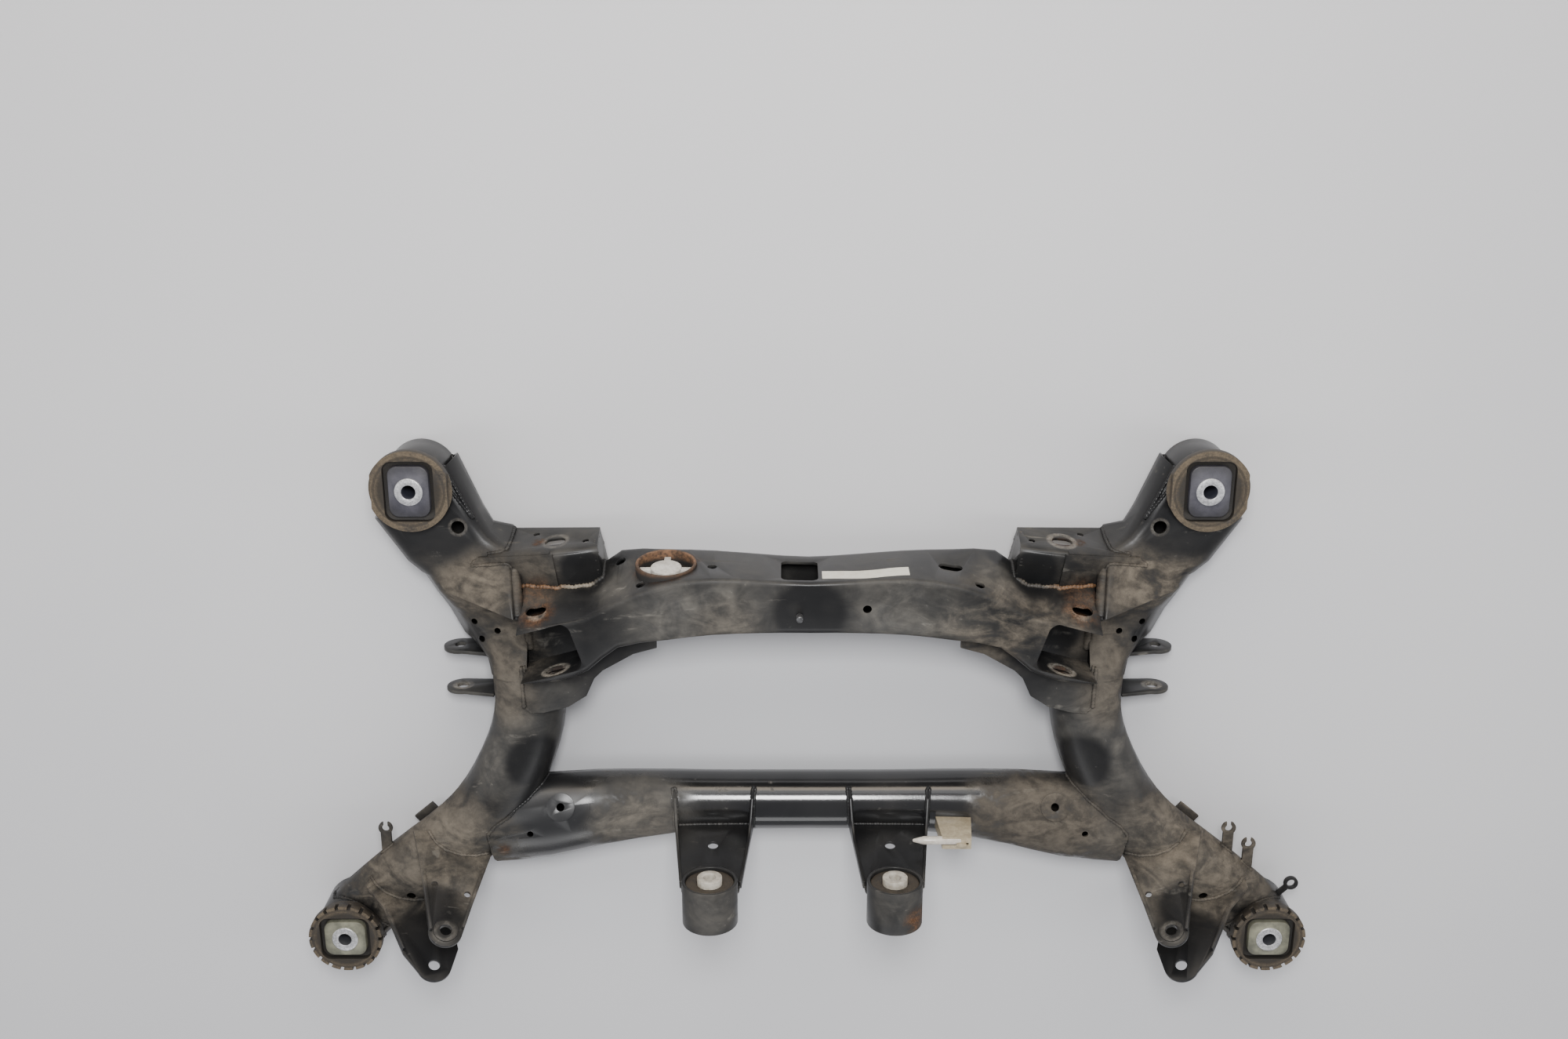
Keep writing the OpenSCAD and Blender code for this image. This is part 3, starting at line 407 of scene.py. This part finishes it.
def mount_core():
    """Cast aluminium, blue-grey at the front and olive at the rear, bright where the bolt's head was."""
    g = Graph("mount_core")
    fine = g.noise(640, 4)
    cloud = g.noise(60, 4, 0.6)
    along = g.add("ShaderNodeSeparateXYZ", {"Vector": g.place}).outputs
    bright = g.times(g.range(along["Z"], 0.0806, 0.0814), g.range(cloud, 0.25, 0.55, 0.55, 1.0))
    front = g.mix(g.range(cloud, 0.3, 0.7), (0.036, 0.035, 0.046), (0.070, 0.068, 0.082))
    rear = g.mix(g.range(cloud, 0.3, 0.7), (0.115, 0.115, 0.085), (0.255, 0.250, 0.180))
    worn = g.mix(g.range(fine, 0.3, 0.7), (0.34, 0.34, 0.35), (0.64, 0.64, 0.65))
    apart = g.math("MINIMUM", g.flat_apart(FRONT_MOUNT), g.flat_apart(REAR_MOUNT))
    shade = g.range(apart, 0.016, 0.030, 1.0, 0.40)
    dull = g.mix(g.range(along["Y"], -0.01, 0.01), rear, front)
    dull = g.mix(shade, (0.012, 0.011, 0.010), dull)
    bore = g.range(apart, 0.0071, 0.0078, 0.0, 1.0)
    color = g.mix(bore, (0.028, 0.030, 0.042), g.mix(bright, dull, worn))
    g.set(color=color, rough=g.range(bright, 0.0, 1.0, 0.5, 0.38), metal=g.times(g.times(bright, bore), 0.6),
          normal=g.bump(fine, 0.0004, 0.5))
    return g.material


def speckled(name, low, high, rough, metal=0.0, scale=180, grit=0.4):
    """A plain surface with grain in colour, gloss and relief."""
    g = Graph(name)
    fine = g.noise(scale, 5, 0.62)
    cloud = g.noise(scale / 7, 4, 0.6, warp=0.4)
    tone = g.plus(g.times(fine, 0.5), g.times(cloud, 0.5))
    g.set(color=g.mix(g.range(tone, 0.35, 0.65), low, high),
          rough=g.range(cloud, 0.3, 0.7, rough - 0.1, rough + 0.1), metal=metal, normal=g.bump(fine, 0.0004, grit))
    return g.material


def rusty_ring():
    """The front differential bush's ring: rust on its rim, and painted shade dark down its bore."""
    g = Graph("rusty_steel")
    fine = g.noise(260, 5, 0.62)
    cloud = g.noise(70, 4, 0.6)
    at = g.add("ShaderNodeSeparateXYZ", {"Vector": g.place}).outputs
    out = g.range(at["Y"], 0.1795, 0.1850)
    low = g.range(at["Z"], 0.070, 0.100, 1.0, 0.25)
    mottle = g.range(g.plus(g.times(fine, 0.5), g.times(cloud, 0.5)), 0.35, 0.65)
    rust = g.mix(g.times(mottle, low), (0.040, 0.024, 0.015), (0.220, 0.115, 0.058))
    # Near black below the rim: painted shade down the bore.
    g.set(color=g.mix(out, (0.010, 0.009, 0.008), rust), rough=0.75, normal=g.bump(fine, 0.0004, 0.5))
    return g.material


def bare_weld():
    """The link brackets' welds: rusty on the outside, pale along the top wall, and near black at the inner end as
    painted shade of the bracket's open mouth.
    """
    g = Graph("bare_weld_metal")
    fine = g.noise(300, 5, 0.62)
    cloud = g.noise(60, 4, 0.6)
    side = g.add("ShaderNodeVectorMath", {0: g.place}, operation="ABSOLUTE").outputs["Vector"]
    out = g.add("ShaderNodeSeparateXYZ", {"Vector": side}).outputs["X"]
    rusty = g.mix(g.range(fine, 0.3, 0.7), (0.055, 0.028, 0.014), (0.190, 0.098, 0.044))
    pale = g.mix(g.range(cloud, 0.42, 0.58), (0.035, 0.031, 0.026), (0.210, 0.180, 0.138))
    # Near black at the inner end: painted shade.
    inner = g.mix(g.range(out, 0.218, 0.232), (0.014, 0.0135, 0.013), pale)
    g.set(color=g.mix(g.range(out, 0.245, 0.268), inner, rusty), rough=0.55, normal=g.bump(fine, 0.0005, 0.7))
    return g.material


def floor_look():
    """A pale plain floor."""
    g = Graph("floor_look")
    cloud = g.noise(2.0, 3)
    g.set(color=g.mix(g.range(cloud, 0.3, 0.7), (0.60, 0.60, 0.615), (0.62, 0.62, 0.63)), rough=0.85, specular=0.2)
    return g.material


LOOKS = {
    "painted_steel": coated_steel("coated_steel", 0.11, 0.32, 0.30),
    "gloss_paint": coated_steel("gloss_steel", 0.07, 0.14, 0.70),
    "bush_rubber": rubber("tan_rubber", (0.014, 0.012, 0.010), (0.080, 0.062, 0.041), 0.25, 0.58),
    "mount_core": mount_core(),
    "bush_core": speckled("bush_core", (0.26, 0.23, 0.18), (0.50, 0.47, 0.41), 0.6),
    "rusty_steel": rusty_ring(),
    "white_plastic": speckled("white_plastic", (0.42, 0.39, 0.34), (0.62, 0.60, 0.55), 0.5, scale=320, grit=0.15),
    "clip_plastic": speckled("clip_plastic", (0.29, 0.24, 0.16), (0.43, 0.37, 0.26), 0.40, scale=260, grit=0.2),
    "bare_steel": speckled("bare_steel", (0.03, 0.03, 0.03), (0.30, 0.30, 0.31), 0.4, 0.5),
}
# The rounded edges, paler where the coating is rubbed thin and as a painted highlight
EDGE_LOOKS = {
    "painted_steel": coated_steel("coated_edge", 0.11, 0.32, 0.30, 0.50),
    "gloss_paint": coated_steel("gloss_edge", 0.07, 0.14, 0.70, 0.35),
}
WELD_LOOK = LOOKS["painted_steel"]
BARE_WELD_LOOK = bare_weld()
PIN_LOOK = speckled("pin_plastic", (0.46, 0.42, 0.36), (0.62, 0.58, 0.52), 0.25, scale=260, grit=0.15)
LABEL_LOOK = speckled("label_paper", (0.60, 0.57, 0.47), (0.70, 0.68, 0.60), 0.6, scale=120, grit=0.1)


def new_piece(name, mesh, look):
    """An added piece with one look, which rides on the part."""
    piece = bpy.data.objects.new(name, mesh)
    bpy.context.scene.collection.objects.link(piece)
    mesh.materials.clear()
    mesh.materials.append(look)
    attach(piece, "root")
    return piece


def closed_mesh(name, bm):
    """The mesh of a closed form, with its faces turned outwards."""
    mesh = bpy.data.meshes.new(name)
    bmesh.ops.recalc_face_normals(bm, faces=bm.faces)
    bm.to_mesh(mesh)
    bm.free()
    return mesh


def smooth(mesh):
    """Smooth shading, except at sharp edges."""
    mesh.shade_smooth()
    mesh.set_sharp_from_angle(angle=SHARP)


def node_mesh(node):
    """A CAD node's mesh with shared points and its flat faces whole."""
    bm = bmesh.new()
    bm.from_mesh(nodes[node].data)
    bmesh.ops.remove_doubles(bm, verts=bm.verts, dist=MERGE)
    bmesh.ops.dissolve_limit(bm, angle_limit=FLAT, verts=bm.verts, edges=bm.edges)
    return bm


def dress(node, slot):
    """A copy of a CAD node with its edges rounded, in its own finish, which stands for the node."""
    bm = node_mesh(node)
    if node == CLIP_NODE:
        for vert in bm.verts:
            vert.co.y = CLIP_Y + (vert.co.y - CLIP_Y) * CLIP_SLIM
    edges = [e for e in bm.edges if len(e.link_faces) == 2 and e.calc_face_angle(0.0) > SHARP]
    rounded = bmesh.ops.bevel(bm, geom=edges, offset=EDGES.get(slot, EDGE), segments=EDGE_STEPS,
                              profile=0.5, affect="EDGES", clamp_overlap=True)["faces"]
    for face in rounded:
        face.material_index = 1 if slot in EDGE_LOOKS else 0
    mesh = bpy.data.meshes.new(node + "_skin")
    bm.to_mesh(mesh)
    bm.free()
    smooth(mesh)
    piece = new_piece(node + "_skin", mesh, PIN_LOOK if node == PIN_NODE else LOOKS[slot])
    if slot in EDGE_LOOKS:
        mesh.materials.append(EDGE_LOOKS[slot])
    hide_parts(node)
    return piece


def surface(node):
    """A CAD node's surface, for nearest points and rays."""
    bm = bmesh.new()
    bm.from_mesh(nodes[node].data)
    tree = BVHTree.FromBMesh(bm)
    bm.free()
    return tree


def seams(node, other):
    """Chains of points round where a node's faces lie on another node."""
    bm = node_mesh(node)
    tree = surface(other)
    on = [tree.find_nearest(f.calc_center_median(), WELD_REACH)[0] is not None for f in bm.faces]
    bm.faces.index_update()
    rim = [e for e in bm.edges if len(e.link_faces) == 2 and len({on[f.index] for f in e.link_faces}) == 2]
    ways = {}
    for e in rim:
        for a, b in (e.verts, reversed(e.verts)):
            ways.setdefault(a.index, []).append(b.index)
    points = {v.index: v.co.copy() for v in bm.verts}
    bm.free()
    chains = []
    starts = sorted(ways, key=lambda v: (len(ways[v]) == 2, v))
    for start in starts:
        while ways[start]:
            chain = [start]
            while ways[chain[-1]]:
                step = ways[chain[-1]].pop(0)
                ways[step].remove(chain[-1])
                chain.append(step)
            chains.append([points[v] for v in chain])
    return chains


def along(chain, step):
    """Points at even steps along a chain."""
    out = [chain[0]]
    left = step
    for a, b in zip(chain, chain[1:]):
        run = (b - a).length
        at = left
        while at < run:
            out.append(a.lerp(b, at / run))
            at += step
        left = at - run
    return out


def bead(bm, chain, radius, lumps=1.0):
    """A weld bead along a chain of points, with ripples and lumps in it."""
    points = along(chain, WELD_STEP)
    if len(points) < 4:
        return
    rings = []
    for k, p in enumerate(points):
        ahead = points[min(k + 1, len(points) - 1)] - points[max(k - 1, 0)]
        side = ahead.cross(Vector(BEAD_ASIDE)).normalized()
        up = side.cross(ahead).normalized()
        rough = RIPPLE_DEPTH * math.sin(k * RIPPLE) + LUMP_DEPTH * noise.noise(p * LUMPS)
        lump = BEAD_BODY + lumps * rough
        ends = min(1.0, BEAD_END + BEAD_RISE * min(k, len(points) - 1 - k))
        r = radius * lump * ends
        rings.append([bm.verts.new(p + (side * math.cos(a) + up * math.sin(a)) * r)
                      for a in (2 * math.pi * j / WELD_SIDES for j in range(WELD_SIDES))])
    for one, two in zip(rings, rings[1:]):
        for j in range(WELD_SIDES):
            n = (j + 1) % WELD_SIDES
            bm.faces.new((one[j], one[n], two[n], two[j]))
    bm.faces.new(list(reversed(rings[0])))
    bm.faces.new(rings[-1])


def weld(node, others, ending="", look=WELD_LOOK, radius=WELD_R):
    """The welds that hold a node to others, as one piece named weld_, the node and the ending."""
    bm = bmesh.new()
    for other in others:
        for chain in seams(node, other):
            bead(bm, chain, radius)
    name = "weld_" + node + ending
    mesh = closed_mesh(name, bm)
    mesh.shade_smooth()
    if mesh.polygons:
        new_piece(name, mesh, look)


def fill(name, sign, points):
    """A broad smooth seam along a few points, on one side of the part."""
    bm = bmesh.new()
    bead(bm, [Vector((sign * x, y, z)) for x, y, z in points], FILL_R, FILL_LUMPS)
    mesh = closed_mesh(name, bm)
    mesh.shade_smooth()
    new_piece(name, mesh, LOOKS["painted_steel"])


def collar_web(name, sign):
    """A ring that closes the rear collar's notches behind their mouths."""
    bm = bmesh.new()
    rings = []
    for r, z in ((WEB_R[0], WEB_Z[0]), (WEB_R[1], WEB_Z[0]), (WEB_R[1], WEB_Z[1]), (WEB_R[0], WEB_Z[1])):
        turns = [2 * math.pi * k / WEB_STEPS for k in range(WEB_STEPS)]
        rings.append([bm.verts.new((sign * REAR_MOUNT[0] + r * math.cos(a), REAR_MOUNT[1] + r * math.sin(a), z))
                      for a in turns])
    for one, two in zip(rings, rings[1:] + rings[:1]):
        for k in range(WEB_STEPS):
            n = (k + 1) % WEB_STEPS
            bm.faces.new((one[k], one[n], two[n], two[k]))
    mesh = closed_mesh(name, bm)
    smooth(mesh)
    new_piece(name, mesh, LOOKS["bush_rubber"])


def label():
    """The blank paper label, laid on the crossmember's front face."""
    tree = surface("front_crossmember")
    bm = bmesh.new()
    layers = []
    for lift in (0.0, LABEL_T):
        grid = []
        for i in range(LABEL_GRID[0] + 1):
            x = LABEL_X[0] + (LABEL_X[1] - LABEL_X[0]) * i / LABEL_GRID[0]
            sag = LABEL_SAG * math.sin(math.pi * (2.0 * i / LABEL_GRID[0] - 0.5))
            row = []
            for k in range(LABEL_GRID[1] + 1):
                z = LABEL_Z[0] + (LABEL_Z[1] - LABEL_Z[0]) * k / LABEL_GRID[1] + sag
                hit = tree.ray_cast(Vector((x, LABEL_RAY_Y, z)), Vector((0.0, -1.0, 0.0)))[0]
                row.append(bm.verts.new(hit + Vector((0.0, lift, 0.0))))
            grid.append(row)
        layers.append(grid)
    for lift, grid in enumerate(layers):
        for i in range(LABEL_GRID[0]):
            for k in range(LABEL_GRID[1]):
                quad = [grid[i][k], grid[i + 1][k], grid[i + 1][k + 1], grid[i][k + 1]]
                bm.faces.new(quad if lift else quad[::-1])
    rims = [[g[i][0] for i in range(LABEL_GRID[0] + 1)] + g[-1][1:]
            + [g[i][-1] for i in range(LABEL_GRID[0] - 1, -1, -1)] + g[0][-2:0:-1] for g in layers]
    for k in range(len(rims[0])):
        n = (k + 1) % len(rims[0])
        bm.faces.new((rims[0][k], rims[0][n], rims[1][n], rims[1][k]))
    new_piece("blank_label", closed_mesh("blank_label", bm), LABEL_LOOK)


for part in frame["record"]["subparts"]:
    dress(part["node"], part["material_slot"])
for side, sign in SIDES.items():
    tube, arm = side + "_side_tube", side + "_front_arm"
    weld(arm, [f"front_{side}_sleeve", "front_crossmember", tube])
    weld(tube, [f"rear_{side}_sleeve"])
    weld(side + "_outer_ear_front", [arm, tube])
    weld(side + "_outer_ear_rear", [tube])
    weld(side + "_lower_ear_front", [tube, "rear_cross_tube"])
    weld(side + "_lower_ear_rear", [tube])
    weld(side + "_corner_gusset", ["front_crossmember", tube, arm])
    weld(side + "_link_bracket", ["front_crossmember"], "_bare", BARE_WELD_LOOK, BARE_WELD_R)
    weld(side + "_link_bracket", [arm])
    weld(side + "_diff_arm", ["rear_cross_tube", side + "_diff_housing"])
    weld(side + "_rear_tab", [tube])
    weld(side + "_line_clip", [tube])
    for index, points in enumerate(CORNER_SEAMS):
        fill(f"{side}_corner_seam_{index}", sign, points)
    collar_web(f"rear_{side}_collar_web", sign)
weld("rear_cross_tube", ["left_side_tube", "right_side_tube"])
label()

# Camera, light and floor
camera = bpy.data.objects.new("camera", bpy.data.cameras.new("camera"))
camera.data.lens = LENS
camera.data.sensor_width = SENSOR
camera.location = CAMERA_AT
camera.rotation_euler = (math.radians(CAMERA_PITCH), 0.0, 0.0)
bpy.context.scene.collection.objects.link(camera)
bpy.context.scene.camera = camera


def area_light(name, place, size, power, color):
    """A soft light turned to the part."""
    light = bpy.data.lights.new(name, "AREA")
    light.shape = "RECTANGLE"
    light.size, light.size_y = size
    light.energy = power
    light.color = color
    lamp = bpy.data.objects.new(name, light)
    lamp.location = place
    lamp.rotation_euler = (Vector(LIGHT_AIM) - Vector(place)).to_track_quat("-Z", "Y").to_euler()
    bpy.context.scene.collection.objects.link(lamp)


area_light("flash", FLASH_AT, (FLASH_SIZE, FLASH_SIZE), FLASH_POWER, NEUTRAL)
for index, softbox in enumerate(SOFTBOXES):
    area_light(f"softbox_{index}", *softbox)
world = bpy.data.worlds.new("studio")
world.use_nodes = True
background = world.node_tree.nodes["Background"]
background.inputs["Color"].default_value = WORLD_COLOR
background.inputs["Strength"].default_value = WORLD_STRENGTH
bpy.context.scene.world = world

bpy.ops.mesh.primitive_plane_add(size=FLOOR_SIZE)
floor = bpy.context.object
floor.name = "floor"
floor.data.materials.append(floor_look())
